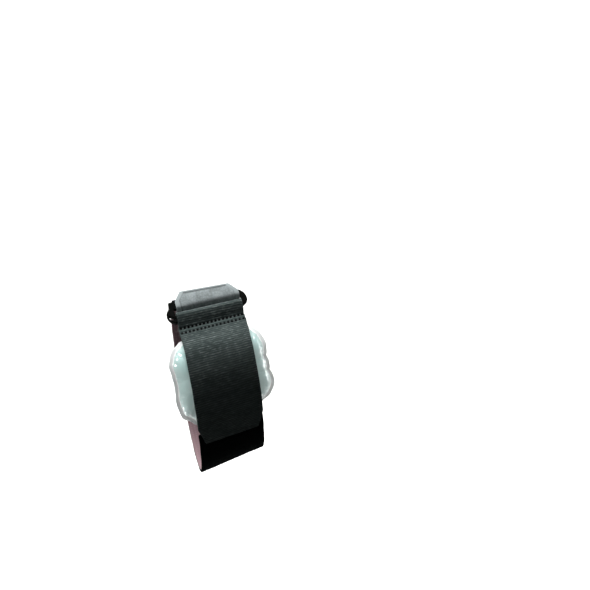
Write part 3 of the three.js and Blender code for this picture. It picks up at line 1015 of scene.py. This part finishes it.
class ELBOW_OT_air_cell(bpy.types.Operator):
    """Blows up the welded cell under the strap"""

    bl_idname = "elbow.air_cell"
    bl_label = "Air cell"

    def execute(self, context):
        settings = context.scene.elbow_cell
        turns = even_turns(CELL_ROUND)
        plain = cell_edge(turns, CELL_WAVES)
        scallops = cell_edge(turns, CELL_WAVES + RIM_SCALLOPS) - plain
        # The rim curls a little, and more where it is scalloped.
        curl = 0.2 * np.sin(3 * turns + 1) + 7 * np.linalg.norm(scallops, axis=1)

        def ring(share, height):
            """Points round the cell; share 1 is the weld's inner edge and 2 the rim's outer edge."""
            inset = CELL_RIM * (2 - max(share, 1))
            flat = (plain + scallops * min(share, 1) ** 12) * min(share, 1)
            flat = flat * (CELL_ACROSS / 2 - inset, CELL_ALONG / 2 - inset)
            lift = curl * 0.8 * max(0, share - 1)
            return [on_hollow(a, CELL_ANGLE + b, height + up) for (a, b), up in zip(flat, lift)]

        blown = 1 - (1 - np.linspace(0, 1, FILM_RINGS + 1)[1:]) ** 1.5
        film = [(share, RIM_TOP + CELL_LIFT * max(0, 1 - share**4) ** 0.7, 0) for share in blown[:-1]]
        rim = [
            (1, RIM_TOP, 1), (1.12, RIM_TOP - 0.4, 1), (1.5, RIM_TOP - 0.7, 1), (1.9, RIM_TOP - 1, 1),
            (2, RIM_TOP - 1.2, 1), (1.9, RIM_UNDER, 1), (1.5, RIM_UNDER + 0.1, 1), (1.1, RIM_UNDER, 1),
        ]
        floor = [(share, CELL_FLOOR, 0) for share in (0.97, 0.85, 0.6, 0.3)]
        points = [on_hollow(0, CELL_ANGLE, RIM_TOP + CELL_LIFT)]
        welds = [0]
        for share, height, weld in film + rim + floor:
            points += ring(share, height)
            welds += [weld] * CELL_ROUND
        points.append(on_hollow(0, CELL_ANGLE, CELL_FLOOR))
        welds.append(0)
        last = len(points) - 1
        faces = []
        for k in range(CELL_ROUND):
            n = (k + 1) % CELL_ROUND
            faces.append((0, 1 + k, 1 + n))
            for a in range(1, last - CELL_ROUND, CELL_ROUND):
                faces.append((a + k, a + CELL_ROUND + k, a + CELL_ROUND + n, a + n))
            faces.append((last - CELL_ROUND + n, last - CELL_ROUND + k, last))
        mesh = bpy.data.meshes.new("air_cell")
        mesh.from_pydata([Vector(p) * MM for p in points], [], faces)
        mesh.attributes.new("weld", "FLOAT", "POINT").data.foreach_set("value", welds)
        cell = bpy.data.objects.new("air_cell", mesh)
        context.collection.objects.link(cell)
        face_outwards(cell)
        blow_up(cell, list(range(1 + len(film) * CELL_ROUND, last + 1)), settings)
        smooth = cell.modifiers.new("Smooth film", "SUBSURF")
        smooth.levels = 1
        smooth.render_levels = 1
        apply_modifiers(cell)
        bpy.ops.object.shade_smooth()
        fit_out(cell, vinyl_film(settings), "film", "aircell_outer_film", "aircell_inner_film")
        return {"FINISHED"}


class ELBOW_OT_stage(bpy.types.Operator):
    """Sets the floor, the lights and the camera"""

    bl_idname = "elbow.stage"
    bl_label = "Stage"

    def execute(self, context):
        settings = context.scene.elbow_stage
        scene = context.scene
        deselect()
        bpy.ops.mesh.primitive_grid_add(x_subdivisions=48, y_subdivisions=48, size=8)
        floor = context.object
        floor.name = "studio_floor"
        for point in floor.data.vertices:
            far = max(0.0, point.co.xy.length - 2.2)
            point.co.z = -settings.floor_drop + 0.3 * far**2
        bpy.ops.object.shade_smooth()
        floor.data.materials.append(painted_floor(settings))
        floor.visible_diffuse = False

        turn, rise, roll = (math.radians(angle) for angle in (VIEW_TURN, VIEW_RISE, VIEW_ROLL))
        level = math.cos(rise)
        back = Vector((math.sin(turn) * level, -math.cos(turn) * level, math.sin(rise)))
        right = Vector((math.cos(turn), math.sin(turn), 0))
        up = back.cross(right)
        right, up = (
            right * math.cos(roll) - up * math.sin(roll),
            right * math.sin(roll) + up * math.cos(roll),
        )
        aside = (PICTURE_MIDDLE - HOLLOW_PIXEL[0]) * VIEW_PIXEL
        above = (HOLLOW_PIXEL[1] - PICTURE_MIDDLE) * VIEW_PIXEL
        aim = right * aside + up * above
        eye = bpy.data.objects.new("camera", bpy.data.cameras.new("camera"))
        eye.data.lens = VIEW_LENS
        eye.data.sensor_width = 36
        eye.data.clip_start = 0.05
        eye.data.clip_end = 50
        place = Matrix((right, up, back)).transposed().to_4x4()
        place.translation = aim + back * VIEW_DISTANCE
        eye.matrix_world = place
        scene.collection.objects.link(eye)
        scene.camera = eye

        def light(name, kind, where, energy, **facts):
            lamp = bpy.data.objects.new(name, bpy.data.lights.new(name, kind))
            lamp.data.energy = energy
            for key, value in facts.items():
                setattr(lamp.data, key, value)
            lamp.location = where
            lamp.rotation_mode = "QUATERNION"
            lamp.rotation_quaternion = Vector(where).to_track_quat("Z", "Y")
            lamp.visible_camera = False
            scene.collection.objects.link(lamp)
            return lamp

        light("overhead softbox", "SUN", (0, 0.17, 1), settings.key_strength, angle=math.radians(26))
        fill = light("front fill", "SUN", (-0.2, -1, 0.25), settings.fill_strength, angle=math.radians(70))
        fill.visible_glossy = False
        for name, where, power, wide, tall, unlit in AREA_LIGHTS:
            lamp = light(name, "AREA", where, power, shape="RECTANGLE", size=wide, size_y=tall)
            setattr(lamp, unlit, False)

        world = bpy.data.worlds.new("studio")
        world.use_nodes = True
        world.node_tree.nodes["Background"].inputs["Color"].default_value = (1, 1, 1, 1)
        world.node_tree.nodes["Background"].inputs["Strength"].default_value = 1.0
        world.cycles_visibility.diffuse = False
        world.cycles_visibility.glossy = False
        scene.world = world
        scene.view_settings.view_transform = "Standard"
        return {"FINISHED"}


class ELBOW_PT_panel(bpy.types.Panel):
    """Steps that build the support"""

    bl_idname = "ELBOW_PT_panel"
    bl_label = "Elbow Support"
    bl_space_type = "VIEW_3D"
    bl_region_type = "UI"
    bl_category = "Elbow Support"

    def draw(self, context):
        scene = context.scene
        for group, steps in PANEL_ROWS:
            box = self.layout.box()
            settings = getattr(scene, group)
            for key in settings.__annotations__:
                box.prop(settings, key)
            for step in steps:
                box.operator(step.bl_idname)


PANEL_ROWS = (
    ("elbow_stage", (ELBOW_OT_stage,)),
    ("elbow_webbing", (ELBOW_OT_woven_strap, ELBOW_OT_sewn_rows)),
    ("elbow_band", (ELBOW_OT_arm_band, ELBOW_OT_band_lining, ELBOW_OT_closure_tab)),
    ("elbow_loop", (ELBOW_OT_loop,)),
    ("elbow_cell", (ELBOW_OT_air_cell,)),
)
GROUPS = {
    "elbow_webbing": WebbingSettings,
    "elbow_band": BandSettings,
    "elbow_loop": LoopSettings,
    "elbow_cell": CellSettings,
    "elbow_stage": StageSettings,
}
CLASSES = (*GROUPS.values(), *(step for _, steps in PANEL_ROWS for step in steps), ELBOW_PT_panel)


def register():
    for cls in CLASSES:
        bpy.utils.register_class(cls)
    for name, group in GROUPS.items():
        setattr(bpy.types.Scene, name, PointerProperty(type=group))


def unregister():
    for name in GROUPS:
        delattr(bpy.types.Scene, name)
    for cls in reversed(CLASSES):
        bpy.utils.unregister_class(cls)


def main():
    register()
    bpy.ops.elbow.stage()
    bpy.ops.elbow.woven_strap()
    bpy.ops.elbow.sewn_rows()
    bpy.ops.elbow.arm_band()
    bpy.ops.elbow.band_lining()
    bpy.ops.elbow.closure_tab()
    bpy.ops.elbow.loop()
    bpy.ops.elbow.air_cell()


if __name__ == "__main__":
    main()
